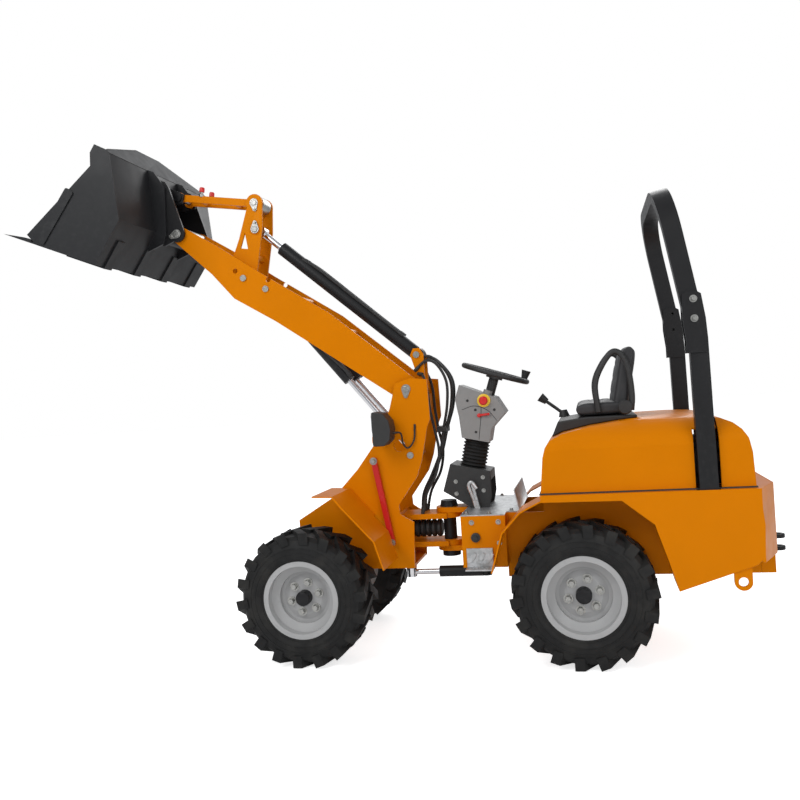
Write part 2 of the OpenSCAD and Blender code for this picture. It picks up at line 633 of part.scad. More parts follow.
// Columns: x share, z share
mast_shares = [[0, 0], [0, 0.272], [0.279, 0.395], [0.461, 0.535], [0.606, 0.674], [0.719, 0.845],
    [0.769, 0.975], [0.879, 1], [0.995, 0.988], [1, 0.779], [0.976, 0.739], [0.925, 0.568],
    [0.882, 0.48], [0.74, 0.335], [0.744, 0.288], [0.78, 0.268], [0.84, 0.243], [0.824, 0]];
tilt_ear_y = 34;
module front_frame() placed() color(yellow) {
    inner = mast_half - mast_t;
    wall_x = mast_at.x + mast_size.x * 0.7;
    ear_low = boom_pivot.y - boom_depth * 0.5;
    difference() {
        pair() upright(-mast_half, mast_t) polygon(outline(mast_shares, mast_size, mast_at));
        for (p = [boom_pivot, tilt_base, lift_foot]) across(pin_d / 2 + fit, -mast_w, mast_w, p);
        across(pin_d * 0.9, -mast_w, mast_w, boom_pivot - [pin_d * 1.6, lift_drop * 0.85]);
    }
    block([mast_at.x, mast_at.x + mast_size.x * 0.82], [-inner, inner], [mast_bot, mast_bot + mast_t]);
    block([mast_at.x, mast_at.x + mast_t], [-inner, inner], [mast_bot, mast_bot + mast_size.y * 0.18]);
    block([wall_x, wall_x + mast_t], [-inner, inner], [mast_bot, mast_bot + mast_size.y * 0.28]);
    for (z = [hinge_up_z - lug_t, hinge_low_z])
        hinge_lug(wall_x + mast_t / 2 - hinge_x, z, hinge_d, hinge_d * 1.3);
    // Boss over the steering rod's eye
    boss_z = steer_z + steer_eye + gap;
    translate([steer_front.x, steer_front.y, boss_z])
        cylinder(r = pin_d * 0.8, h = mast_bot + mast_t / 2 - boss_z);
    // Ears for the tilt cylinder's base pin, on a cross wall between the plates
    pair() difference() {
        upright(-tilt_ear_y - mast_t, mast_t) polygon([
            tilt_base + [-pin_d, 0], tilt_base + [-pin_d / 2, pin_d], tilt_base + [pin_d / 2, pin_d],
            tilt_base + [pin_d * 1.1, 0], [tilt_base.x + pin_d * 1.1, ear_low],
            [tilt_base.x - pin_d * 0.2, ear_low], [tilt_base.x + pin_d * 0.2, boom_pivot.y + pin_d]]);
        across(pin_d / 2 + fit, -mast_w, mast_w, tilt_base);
    }
    block([tilt_base.x + pin_d * 0.8, tilt_base.x + pin_d * 1.1], [-inner, inner],
        [ear_low, boom_pivot.y - pin_d]);
}

// Red strut on the left, which locks the boom
strut_w = 26;
strut_set = 169;
strut_drop = 319;
strut_run = 62;
strut_fall = 375;
strut_top = boom_pivot - [strut_set, strut_drop];
strut_foot = strut_top + [strut_run, -strut_fall];
module safety_strut() placed() color("red") between(strut_top, strut_foot)
    block([-strut_w / 2, norm(strut_foot - strut_top) + strut_w / 2],
        [-mast_half - strut_w - gap, -mast_half - gap], [-strut_w / 2, strut_w / 2]);

// Front fenders, the left one cut out round the strut
// Columns: x share, z share of the fender's length and height
front_fender_shares = [[0, 1], [0.3, 0.99], [0.44, 0.83], [0.88, 0.38], [1, 0]];
fender_size = [296, 320];
fender_set = 80;
fender_rise = 55;
fender_at = [front_axle_x + fender_set, mast_bot + fender_rise];
fender_out = 440;
module front_fenders() placed() color(yellow) difference() {
    pair() strip(outline(front_fender_shares, fender_size, fender_at), skin, -fender_out, -mast_half);
    block([strut_foot.x - strut_w * 3, strut_foot.x + strut_w * 2],
        [-mast_half - strut_w - plate, over - mast_half], [mast_bot, strut_top.y]);
}

// Work lamps on stalks beside the mast
lamp_size = [84, 153];
lamp_w = 104;
lamp_y = 230;
lamp_ahead = 138;
lamp_drop = 246;
lamp_at = boom_pivot - [lamp_ahead, lamp_drop];
// Columns: x share, z share
lamp_shares = [[0, 0.03], [0, 0.97], [0.08, 1], [0.6, 0.95], [0.92, 0.72], [1, 0.45], [0.92, 0.16], [0.6, 0],
    [0.08, 0]];
module work_lamps() placed() color(black) pair() {
    upright(-lamp_y - lamp_w / 2, lamp_w) polygon(outline(lamp_shares, lamp_size, lamp_at));
    across(plate * 2, -lamp_y, -mast_half, lamp_at + lamp_size * 0.5);
}
module mast_pins() placed() color(zinc) {
    across(pin_d / 2, -mast_half - plate, mast_half + plate, boom_pivot);
    pair() across(pin_d / 2, -mast_half - plate, mast_t - mast_half, lift_foot);
    across(pin_d / 2, -tilt_ear_y - mast_t - plate, tilt_ear_y + mast_t + plate, tilt_base);
}
boot_r = 42;
module hinge_boot() placed() color(black) {
    x0 = mast_at.x + mast_size.x * 0.7 + mast_t;
    translate([x0, 0, (hinge_up_z + hinge_low_z) / 2]) rotate([0, 90, 0])
        cylinder(r = boot_r, h = hinge_x - hinge_d / 2 - plate - x0);
}

// Boom: two plates of one outline, cross tubes and pin bosses
// Columns: share along the boom, share of the boom's depth
boom_shares = [[0, 0.3], [0.018, 0.3], [0.374, 0.45], [0.677, 0.325], [0.84, 0.29], [1, 0.2], [1, -0.2],
    [0.812, -0.35], [0.694, -0.53], [0.52, -0.42], [0.2, -0.34], [0, -0.3]];
boom_half = boom_w / 2;
module boom() placed() color(yellow) boom_frame() difference() {
    union() {
        pair() upright(-boom_half, boom_t) {
            polygon(outline(boom_shares, [boom_len, boom_depth]));
            circle(r = boom_depth * 0.3);
            translate([boom_len, 0]) circle(r = boom_depth * 0.2);
        }
        for (s = [[0.3, 0.25], [0.5, 0.27], [0.86, 0]])
            across(boom_depth * 0.1, boom_t - boom_half, boom_half - boom_t,
                [boom_len * s[0], boom_depth * s[1]]);
        across(pin_d, boom_t - boom_half - mast_t, boom_half - boom_t + mast_t, [0, 0]);
    }
    for (p = [[0, 0], [boom_len, 0], [boom_len * lever_share, 0], [boom_len * lift_share, lift_up]])
        across(pin_d / 2 + fit, -boom_w, boom_w, p);
    pair() for (s = [[0.744, 0.03], [0.623, 0.3]])
        across(pin_d * 0.4, -boom_w, boom_t - boom_half + over, [boom_len * s[0], boom_depth * s[1]]);
}

// Cylinders: barrels are on the boom or the mast, rods slide in them
lift_y = 62;
lift_len = norm(lift_foot - lift_top);
lift_barrel_share = 0.56;
rod_share = 0.5;
module barrel(d, length, eye_half) {
    rod_r = d * rod_share / 2;
    difference() {
        union() {
            rotate([0, 90, 0]) translate([0, 0, d * 0.3]) cylinder(r = d / 2, h = length - d * 0.3);
            across(d * 0.5, -eye_half, eye_half);
        }
        across(pin_d / 2 + fit, -d, d);
        rotate([0, 90, 0]) translate([0, 0, d * 0.8]) cylinder(r = rod_r + fit, h = length);
    }
}
module rod(d, x0, x1, eye_half, bored = true) {
    rotate([0, 90, 0]) translate([0, 0, x0]) cylinder(r = d * rod_share / 2, h = x1 - x0 - pin_d / 2 - gap);
    difference() {
        across(d * 0.48, -eye_half, eye_half, [x1, 0]);
        if (bored) across(pin_d / 2 + fit, -d, d, [x1, 0]);
    }
}
module lift_barrels() placed() color(black) pair() translate([0, -lift_y, 0]) between(lift_top, lift_foot)
    barrel(lift_barrel_d, lift_len * lift_barrel_share, lift_barrel_d * 0.45);
module lift_rods() placed() color("silver") pair() translate([0, -lift_y, 0]) between(lift_top, lift_foot)
    rod(lift_barrel_d, lift_len * lift_barrel_share - lift_barrel_d, lift_len, lift_barrel_d * 0.45);
module lift_foot_pin() placed() color(zinc)
    across(pin_d / 2, mast_t - mast_half + gap, mast_half - mast_t - gap, lift_foot);
tilt_len = norm(rod_at - tilt_base);
tilt_barrel_share = 0.86;
module tilt_barrel() placed() color(black) between(tilt_base, rod_at)
    barrel(tilt_barrel_d, tilt_len * tilt_barrel_share, tilt_ear_y - gap);
module tilt_rod() placed() color("silver") between(tilt_base, rod_at)
    rod(tilt_barrel_d, tilt_len * 0.3, tilt_len, tilt_barrel_d * 0.4);

// Link: two flat bars between the lever's plates, on a sleeve at the rear
link_h = 34;
link_t = 12;
link_y = 48;
link_len = norm(link_rear - link_front);
sleeve_r = 40;
module link() placed() color(yellow) between(link_rear, link_front) {
    pair() difference() {
        union() {
            block([0, link_len], [-link_y - link_t, -link_y], [-link_h / 2, link_h / 2]);
            for (x = [0, link_len]) across(pin_d * 0.9, -link_y - link_t, -link_y, [x, 0]);
        }
        for (x = [0, link_len]) across(pin_d / 2 + fit, -boom_w, boom_w, [x, 0]);
    }
    for (share = [0.3, 0.75])
        across(link_h * 0.35, -link_y - link_t / 2, link_y + link_t / 2, [link_len * share, 0]);
}
module link_pin() placed() color(zinc) {
    across(pin_d / 2, -lever_y - lever_t - plate, lever_y + lever_t + plate, link_rear);
    across(sleeve_r, gap - link_y, link_y - gap, link_rear);
}

// Bell-crank lever: two plates with a window, joined by a tie, and its sleeved pin
lever_y = link_y + link_t + gap;
lever_t = 12;
lever_hub = 46;
lever_top_r = 42;
tie_share = 0.47;
module lever() placed() color(yellow) difference() {
    up = rod_at - lever_at;
    union() {
        pair() upright(-lever_y - lever_t, lever_t) {
            polygon([lever_at + [-lever_hub, 0], lever_at + [-lever_hub * 1.5, lever_rod_len * 0.45],
                rod_at + [-lever_hub * 1.9, -lever_hub * 0.8],
                link_rear + [-lever_top_r * 0.9, -lever_top_r * 0.4], link_rear + [lever_top_r * 0.98, 0],
                rod_at + [lever_hub * 0.75, 0], lever_at + [lever_hub, 0]]);
            translate(lever_at) circle(r = lever_hub);
            translate(link_rear) circle(r = lever_top_r);
        }
        across(pin_d * 0.6, -lever_y - lever_t / 2, lever_y + lever_t / 2, lever_at + up * tie_share);
        pair() across(pin_d * 0.7, -lever_y - lever_t - plate, -lever_y - lever_t / 2, rod_at);
    }
    for (p = [lever_at, link_rear]) across(pin_d / 2 + fit, -boom_w, boom_w, p);
    upright(-boom_w, 2 * boom_w) polygon([lever_at + up * 0.65 + [-lever_hub * 1.35, 0],
        lever_at + up * 0.62 + [-lever_hub * 0.5, 0], lever_at + up * 0.95 + [-lever_hub * 1.15, 0]]);
}
module lever_pin() placed() color(zinc) {
    across(pin_d / 2, -boom_half - plate, boom_half + plate, lever_at);
    across(sleeve_r, gap - lever_y, lever_y - gap, lever_at);
}
module rod_pin() placed() color(zinc) across(pin_d / 2, gap - lever_y, lever_y - gap, rod_at);
module lift_pins() placed() color(zinc) across(pin_d / 2, -boom_half - plate, boom_half + plate, lift_top);
hitch_set = 6;
hitch_y = boom_half + hitch_set;
hitch_t = 12;
nose_sleeve_r = 36;
module hitch_pin() placed() color(zinc) {
    across(pin_d / 2, -hitch_y - hitch_t - plate, hitch_y + hitch_t + plate, hitch_at);
    across(nose_sleeve_r, boom_t - boom_half + gap, boom_half - boom_t - gap, hitch_at);
}

// Quick hitch: outer plates on the hitch pin, inner ears for the link, and cross tubes
hook_at = [heel_ahead * 0.06, bucket_h * 0.825];
lock_at = [-heel_ahead * 0.56, bucket_h * 0.4];
ear_y = lever_y;
link_local = [(link_front - heel) * bucket_fwd, (link_front - heel) * bucket_up];
hitch_local = [(hitch_at - heel) * bucket_fwd, (hitch_at - heel) * bucket_up];
tube_r = 22;
hitch_boss_r = 40;
module quick_hitch() placed() color(black) bucket_frame() difference() {
    union() {
        pair() upright(-hitch_y - hitch_t, hitch_t) {
            polygon([hook_at + [tube_r * 0.95, -tube_r * 1.1], hook_at + [tube_r * 1.1, tube_r * 1.3],
                hook_at + [tube_r * 0.3, tube_r * 2.1], hook_at + [-tube_r * 1.1, tube_r * 2.1],
                hook_at + [-tube_r * 2.2, tube_r * 1.2], hitch_local + [-tube_r, tube_r * 1.6],
                hitch_local + [0, -tube_r * 1.6], lock_at + [-tube_r * 1.1, -tube_r * 1.4],
                lock_at + [tube_r * 1.1, -tube_r * 1.3], lock_at + [tube_r * 1.1, tube_r]]);
            translate(hitch_local) circle(r = hitch_boss_r);
        }
        pair() upright(-ear_y - hitch_t, hitch_t)
            polygon([link_local + [-tube_r * 1.2, tube_r], link_local + [tube_r * 0.6, tube_r * 1.3],
                hook_at + [tube_r * 0.5, tube_r * 1.2], hook_at + [tube_r * 0.5, -tube_r * 2],
                hook_at + [-tube_r * 1.3, -tube_r * 3], link_local + [-tube_r * 1.4, -tube_r]]);
        pair() across(pin_d * 0.7, -ear_y - hitch_t - plate, -ear_y - hitch_t / 2, link_local);
        for (p = [hook_at, lock_at]) across(tube_r, -hitch_y - hitch_t / 2, hitch_y + hitch_t / 2, p);
    }
    across(pin_d / 2 + fit, -bucket_w, bucket_w, hitch_local);
}

module hitch_link_pin() placed() color(zinc) across(pin_d / 2, gap - ear_y, ear_y - gap, link_front);

// Bucket: side plates, floor, bevel, back, spill guard and ribs for the hitch
// Columns: share of the floor depth ahead of the heel, share of the height
side_shares = [[0, 0], [0.63, 0], [0.76, 0.06], [0.32, 0.81], [0.36, 0.92], [0.34, 1], [0.19, 0.985],
    [0.173, 0.972], [-0.11, 0.44]];
rib_t = 14;
wear_t = 8;
wear_w = 60;
module bucket() placed() color(black) bucket_frame() {
    half = bucket_w / 2;
    side = outline(side_shares, [bucket_floor, bucket_h]);
    lip_root = bucket_floor * 0.72;
    pair() upright(-half, bucket_t) polygon(side);
    strip([[lip_root, 0], side[0], side[8], side[7]], -bucket_t, bucket_t / 2 - half, half - bucket_t / 2);
    upright(-half, bucket_w) polygon([[lip_root - bucket_t, 0], [bucket_floor, 0],
        [bucket_floor * 0.78, bucket_t * 2], [lip_root - bucket_t, bucket_t * 2]]);
    // Wear strips under the heel
    wear = shifted([[bucket_floor * 0.4, 0], side[0], side[8] * 0.6], -over);
    for (y = [-half * 0.8, -half * 0.27, half * 0.27, half * 0.8])
        strip(wear, wear_t + over, y - wear_w / 2, y + wear_w / 2);
    // Spill guard, wide at the back's top edge and narrow above
    guard_top = [bucket_floor * 0.405, bucket_h * 1.127];
    guard_h = norm(guard_top - side[7]);
    guard_half = half - bucket_t / 2;
    between(side[7], guard_top) translate([0, 0, -bucket_t]) linear_extrude(bucket_t) polygon([
        [-bucket_t / 2, -guard_half], [-bucket_t / 2, guard_half], [guard_h * 0.15, guard_half],
        [guard_h, half * 0.23], [guard_h, -half * 0.23], [guard_h * 0.15, -guard_half]]);
    // Ribs on the back that the quick hitch takes hold of
    pair() upright(-hitch_y - hitch_t - gap - rib_t, rib_t) polygon([
        side[7] + [bucket_t / 2, 0], side[7] + [-tube_r * 1.5, 0], hook_at + [-tube_r * 1.6, tube_r],
        lock_at + [-tube_r, tube_r], lock_at + [-tube_r, -tube_r],
        side[0] + (side[8] - side[0]) * 0.5, side[8]]);
}

// Steering cylinder on the left, from the rear frame to the front frame
steer_rise_z = 40;
steer_z = axle_z + steer_rise_z;
steer_y = 95;
steer_d = 50;
steer_eye = steer_d * 0.4;
steer_back = 170;
steer_ahead = 175;
steer_rear = [hinge_x + steer_back, -steer_y];
steer_front = [hinge_x - steer_ahead, -steer_y * 1.1];
module steer_frame() {
    translate([steer_rear.x, steer_rear.y, steer_z]) rotate([0, 0, heading(steer_rear, steer_front)])
        rotate([90, 0, 0]) children();
}
steer_len = norm(steer_front - steer_rear);
module steer_barrel() placed() color(black) steer_frame() barrel(steer_d, steer_len * 0.62, steer_eye);
module steer_rod() placed() color("silver") steer_frame()
    rod(steer_d, steer_len * 0.36, steer_len, steer_eye, false);

rear_frame();
articulation_pin();
deck();
steps();
rear_fenders();
rear_body();
hood_front();
hood_rear();
rops_posts();
rops_hoop();
seat_base();
seat_cushion();
seat_back();
joystick();
console();
bellows();
column_housing();
steering_wheel();
pedal();
engine();
rear_axle();
tow_hitch();
lashing_eyes();
front_frame();
front_fenders();
front_axle();
work_lamps();
safety_strut();
mast_pins();
hinge_boot();
boom();
lift_barrels();
lift_rods();
tilt_barrel();
tilt_rod();
lever();
lever_pin();
link();
link_pin();
rod_pin();
lift_pins();
lift_foot_pin();
hitch_pin();
hitch_link_pin();
quick_hitch();
bucket();
steer_barrel();
steer_rod();
at_wheel(front_axle_x, -1) tyre();  // tyre_fl
at_wheel(front_axle_x, -1) rim(-1);  // rim_fl
at_wheel(front_axle_x, 1) tyre();  // tyre_fr
at_wheel(front_axle_x, 1) rim(1);  // rim_fr
at_wheel(0, -1) tyre();  // tyre_rl
at_wheel(0, -1) rim(-1);  // rim_rl
at_wheel(0, 1) tyre();  // tyre_rr
at_wheel(0, 1) rim(1);  // rim_rr
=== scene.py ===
"""Looks of a compact articulated wheel loader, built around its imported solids."""
import json
import math

import bmesh
import bpy
from mathutils import Matrix, Vector


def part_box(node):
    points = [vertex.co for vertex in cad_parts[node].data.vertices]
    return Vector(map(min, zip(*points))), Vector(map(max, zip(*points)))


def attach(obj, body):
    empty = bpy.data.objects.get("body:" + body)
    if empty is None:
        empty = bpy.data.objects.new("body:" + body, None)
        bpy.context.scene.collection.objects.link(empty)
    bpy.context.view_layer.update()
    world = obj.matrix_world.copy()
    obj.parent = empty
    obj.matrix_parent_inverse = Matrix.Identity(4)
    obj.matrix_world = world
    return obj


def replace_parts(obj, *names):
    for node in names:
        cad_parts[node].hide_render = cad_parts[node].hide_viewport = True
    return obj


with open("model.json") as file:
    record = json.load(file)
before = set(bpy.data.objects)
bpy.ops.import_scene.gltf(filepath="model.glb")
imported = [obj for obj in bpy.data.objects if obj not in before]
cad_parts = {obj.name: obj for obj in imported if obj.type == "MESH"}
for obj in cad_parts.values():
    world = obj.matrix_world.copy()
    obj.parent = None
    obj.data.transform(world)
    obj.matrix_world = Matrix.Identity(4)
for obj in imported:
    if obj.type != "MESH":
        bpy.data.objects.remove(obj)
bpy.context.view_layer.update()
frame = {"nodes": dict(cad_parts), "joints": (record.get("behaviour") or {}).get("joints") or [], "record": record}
nodes = frame["nodes"]
pivot = {j["name"]: Vector(j["pos_m"]) for j in frame["joints"] if "pos_m" in j}
scene = bpy.context.scene

# Places are given in millimetres from the rear axle's middle on the ground
REAR_AXLE = pivot["wheel_rl"].x
MM = 0.001


def at(x, y, z):
    """A point in the frame from millimetres behind the rear axle, to the right and up."""
    return Vector((REAR_AXLE + x * MM, y * MM, z * MM))


# Materials


def tree(name):
    """A new material, its node tree and its main shader."""
    mat = bpy.data.materials.new(name)
    mat.use_nodes = True
    return mat, mat.node_tree, mat.node_tree.nodes["Principled BSDF"]


def noise(nt, scale, detail=4.0):
    """A noise value in object space."""
    coord = nt.nodes.new("ShaderNodeTexCoord")
    tex = nt.nodes.new("ShaderNodeTexNoise")
    tex.inputs["Scale"].default_value = scale
    tex.inputs["Detail"].default_value = detail
    nt.links.new(coord.outputs["Object"], tex.inputs["Vector"])
    return tex.outputs["Fac"]


def spread(nt, value, low, high, low_at=0.3, high_at=0.7):
    """A value turned into a range of numbers."""
    node = nt.nodes.new("ShaderNodeMapRange")
    node.inputs["From Min"].default_value = low_at
    node.inputs["From Max"].default_value = high_at
    node.inputs["To Min"].default_value = low
    node.inputs["To Max"].default_value = high
    nt.links.new(value, node.inputs["Value"])
    return node.outputs["Result"]


def blend_colours(nt, value, low, high):
    """A colour between two, by a value."""
    node = nt.nodes.new("ShaderNodeMix")
    node.data_type = "RGBA"
    node.inputs["A"].default_value = (*low, 1)
    node.inputs["B"].default_value = (*high, 1)
    nt.links.new(value, node.inputs["Factor"])
    return node.outputs["Result"]


def bump(nt, shader, value, strength, distance):
    """Fine relief on a shader."""
    node = nt.nodes.new("ShaderNodeBump")
    node.inputs["Strength"].default_value = strength
    node.inputs["Distance"].default_value = distance
    nt.links.new(value, node.inputs["Height"])
    nt.links.new(node.outputs["Normal"], shader.inputs["Normal"])


def surface(name, colour, vary, rough, metal=0.0, patch=6.0, grain=300.0, relief=0.05):
    """A finish with patchy colour, uneven gloss and a fine grain."""
    mat, nt, shader = tree(name)
    patches = noise(nt, patch)
    low = [c * (1 - vary) for c in colour]
    high = [min(1, c * (1 + vary)) for c in colour]
    mixed = blend_colours(nt, spread(nt, patches, 0, 1), low, high)
    nt.links.new(mixed, shader.inputs["Base Color"])
    fine = noise(nt, grain, 2.0)
    nt.links.new(spread(nt, noise(nt, patch * 5), rough - 0.06, rough + 0.08), shader.inputs["Roughness"])
    bump(nt, shader, fine, relief, 0.002)
    shader.inputs["Metallic"].default_value = metal
    return mat


def worn_paint(name, colour, wear, rough, coat, tint=(1, 1, 1)):
    """Sprayed paint with orange peel, and wear on its sharp edges."""
    mat, nt, shader = tree(name)
    patches = spread(nt, noise(nt, 3.0), 0, 1)
    mixed = blend_colours(nt, patches, [c * 0.95 for c in colour], [min(1, c * 1.03) for c in colour])
    geometry = nt.nodes.new("ShaderNodeNewGeometry")
    edge = spread(nt, geometry.outputs["Pointiness"], 0, 1, 0.535, 0.60)
    broken = nt.nodes.new("ShaderNodeMath")
    broken.operation = "MULTIPLY"
    nt.links.new(edge, broken.inputs[0])
    nt.links.new(spread(nt, noise(nt, 40.0), 0, 0.3, 0.5, 0.75), broken.inputs[1])
    mix = nt.nodes.new("ShaderNodeMix")
    mix.data_type = "RGBA"
    mix.inputs["B"].default_value = (*wear, 1)
    nt.links.new(broken.outputs["Value"], mix.inputs["Factor"])
    nt.links.new(mixed, mix.inputs["A"])
    nt.links.new(mix.outputs["Result"], shader.inputs["Base Color"])
    nt.links.new(spread(nt, noise(nt, 15.0), rough - 0.05, rough + 0.06), shader.inputs["Roughness"])
    bump(nt, shader, noise(nt, 140.0, 1.0), 0.03, 0.002)
    shader.inputs["Specular IOR Level"].default_value = 0.25
    shader.inputs["Specular Tint"].default_value = (*tint, 1)
    shader.inputs["Coat Weight"].default_value = coat
    shader.inputs["Coat Roughness"].default_value = 0.08
    return mat


def galvanised_sheet():
    """Zinc-coated sheet with its crystal pattern."""
    mat, nt, shader = tree("galvanised_sheet")
    coord = nt.nodes.new("ShaderNodeTexCoord")
    cells = nt.nodes.new("ShaderNodeTexVoronoi")
    cells.inputs["Scale"].default_value = 70
    nt.links.new(coord.outputs["Object"], cells.inputs["Vector"])
    shade = nt.nodes.new("ShaderNodeSeparateColor")
    nt.links.new(cells.outputs["Color"], shade.inputs["Color"])
    mixed = blend_colours(nt, shade.outputs["Red"], (0.42, 0.43, 0.43), (0.62, 0.63, 0.64))
    nt.links.new(mixed, shader.inputs["Base Color"])
    nt.links.new(spread(nt, shade.outputs["Green"], 0.32, 0.5, 0, 1), shader.inputs["Roughness"])
    shader.inputs["Metallic"].default_value = 0.85
    bump(nt, shader, noise(nt, 90.0), 0.05, 0.001)
    return mat


def tyre_rubber():
    """Black tyre rubber with lighter patches of dust at random."""
    mat, nt, shader = tree("tyre_rubber")
    dust = spread(nt, noise(nt, 14.0, 6.0), 0, 1, 0.45, 0.75)
    mixed = blend_colours(nt, dust, (0.009, 0.009, 0.009), (0.022, 0.021, 0.019))
    nt.links.new(mixed, shader.inputs["Base Color"])
    nt.links.new(spread(nt, noise(nt, 30.0), 0.5, 0.75), shader.inputs["Roughness"])
    shader.inputs["Specular IOR Level"].default_value = 0.3
    bump(nt, shader, noise(nt, 220.0), 0.12, 0.002)
    return mat


def seat_vinyl():
    """Black vinyl with a pebbled leather grain."""
    mat, nt, shader = tree("seat_vinyl")
    coord = nt.nodes.new("ShaderNodeTexCoord")
    pebbles = nt.nodes.new("ShaderNodeTexVoronoi")
    pebbles.feature = "SMOOTH_F1"
    pebbles.inputs["Scale"].default_value = 420
    nt.links.new(coord.outputs["Object"], pebbles.inputs["Vector"])
    mixed = blend_colours(nt, spread(nt, noise(nt, 9.0), 0, 1), (0.018, 0.018, 0.02), (0.032, 0.032, 0.034))
    nt.links.new(mixed, shader.inputs["Base Color"])
    nt.links.new(spread(nt, noise(nt, 25.0), 0.42, 0.58), shader.inputs["Roughness"])
    bump(nt, shader, pebbles.outputs["Distance"], 0.25, 0.001)
    return mat


YELLOW = (0.66, 0.19, 0.0008)
yellow = worn_paint("yellow_paint", YELLOW, (0.6, 0.17, 0.002), 0.34, 0.02, (1, 0.6, 0.1))
black_paint = worn_paint("black_paint", (0.011, 0.011, 0.012), (0.04, 0.04, 0.04), 0.42, 0.06)
bucket_paint = worn_paint("bucket_paint", (0.016, 0.0165, 0.018), (0.06, 0.06, 0.06), 0.44, 0.05)
red = worn_paint("red_paint", (0.55, 0.012, 0.012), (0.4, 0.05, 0.04), 0.3, 0.3)
silver = worn_paint("rim_paint", (0.4, 0.4, 0.4), (0.3, 0.3, 0.3), 0.38, 0.15)
zinc = surface("zinc_plate", (0.42, 0.42, 0.4), 0.12, 0.3, metal=0.95, patch=60, grain=500)
chrome = surface("chrome_rod", (0.75, 0.75, 0.77), 0.03, 0.12, metal=1.0, patch=8, grain=900, relief=0.01)
iron = surface("cast_iron", (0.12, 0.12, 0.12), 0.25, 0.6, metal=0.4, patch=20, grain=200, relief=0.3)
black_plastic = surface("black_plastic", (0.022, 0.022, 0.022), 0.15, 0.5, patch=8, grain=700, relief=0.2)
grey_plastic = surface("grey_plastic", (0.24, 0.235, 0.23), 0.06, 0.48, patch=8, grain=700, relief=0.2)
rubber = surface("hose_rubber", (0.018, 0.018, 0.018), 0.2, 0.55, patch=30, grain=900, relief=0.2)
red_plastic = surface("red_plastic", (0.6, 0.012, 0.01), 0.08, 0.35, patch=20, grain=700, relief=0.1)
ring_yellow = surface("ring_yellow", (0.85, 0.55, 0.02), 0.06, 0.4, patch=20, grain=700, relief=0.1)
amber = surface("amber_lens", (0.8, 0.25, 0.01), 0.1, 0.12, patch=30, grain=200, relief=0.15)
lens_glass = surface("lamp_lens", (0.55, 0.57, 0.58), 0.06, 0.1, metal=0.2, patch=30, grain=120, relief=0.4)
galvanised = galvanised_sheet()
tyre_black = tyre_rubber()
vinyl = seat_vinyl()

NODE_FINISH = {
    yellow: ["rear_frame", "rear_fenders", "rear_body", "hood_front", "hood_rear", "lashing_eyes", "front_frame",
             "front_fenders", "boom", "lever", "link"],
    black_paint: ["articulation_pin", "rops_posts", "rops_hoop", "rear_axle", "front_axle", "tow_hitch",
                  "lift_barrels", "tilt_barrel", "steer_barrel", "quick_hitch"],
    bucket_paint: ["bucket"],
    galvanised: ["deck", "steps", "pedal"],
    zinc: ["mast_pins", "lever_pin", "link_pin", "rod_pin", "lift_pins", "lift_foot_pin",
           "hitch_pin", "hitch_link_pin"],
    black_plastic: ["seat_base", "joystick", "console", "work_lamps", "steering_wheel"],
    grey_plastic: ["column_housing"],
    rubber: ["bellows", "hinge_boot"],
    vinyl: ["seat_cushion", "seat_back"],
    iron: ["engine"],
    red: ["safety_strut"],
    chrome: ["lift_rods", "tilt_rod", "steer_rod"],
    tyre_black: ["tyre_fl", "tyre_fr", "tyre_rl", "tyre_rr"],
    silver: ["rim_fl", "rim_fr", "rim_rl", "rim_rr"],
}
for finish, names in NODE_FINISH.items():
    for name in names:
        nodes[name].data.materials.clear()
        nodes[name].data.materials.append(finish)
body_of = {n: b for b, ns in frame["record"]["behaviour"]["bodies"].items() for n in ns}


# Makers of pieces


def piece(name, bm, body, finish, smooth_angle=35):
    """A mesh object from a bmesh, riding on a body, with its material."""
    mesh = bpy.data.meshes.new(name)
    bmesh.ops.recalc_face_normals(bm, faces=bm.faces)
    bm.to_mesh(mesh)
    bm.free()
    obj = bpy.data.objects.new(name, mesh)
    scene.collection.objects.link(obj)
    mesh.materials.append(finish)
    mesh.shade_smooth()
    mesh.set_sharp_from_angle(angle=math.radians(smooth_angle))
    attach(obj, body)
    return obj


def applied(obj):
    """The object with its modifiers made part of its mesh."""
    deps = bpy.context.evaluated_depsgraph_get()
    mesh = bpy.data.meshes.new_from_object(obj.evaluated_get(deps))
    obj.modifiers.clear()
    obj.data = mesh
    return obj


def bevelled(obj, width, segments=1):
    """The object with its sharp edges rounded to a width in millimetres."""
    edges = obj.modifiers.new("edges", "BEVEL")
    edges.width = width * MM
    edges.segments = segments
    edges.limit_method = "ANGLE"
    return applied(obj)


def softened(node, width, segments):
    """A copy of a solid with rounded edges, which stands for it."""
    bm = bmesh.new()
    bm.from_mesh(nodes[node].data)
    bmesh.ops.remove_doubles(bm, verts=bm.verts, dist=1e-5)
    bmesh.ops.dissolve_limit(bm, angle_limit=math.radians(0.6), verts=bm.verts, edges=bm.edges)
    obj = piece(node + "_soft", bm, body_of[node], nodes[node].data.materials[0])
    mod = obj.modifiers.new("edges", "BEVEL")
    mod.width = width * MM
    mod.segments = segments
    mod.limit_method = "ANGLE"
    mod.angle_limit = math.radians(28)
    mod.harden_normals = True
    applied(obj)
    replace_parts(obj, node)
    return obj


def basis(axis):
    """A matrix whose Z is along an axis."""
    return Vector(axis).normalized().to_track_quat("Z", "Y").to_matrix().to_4x4()


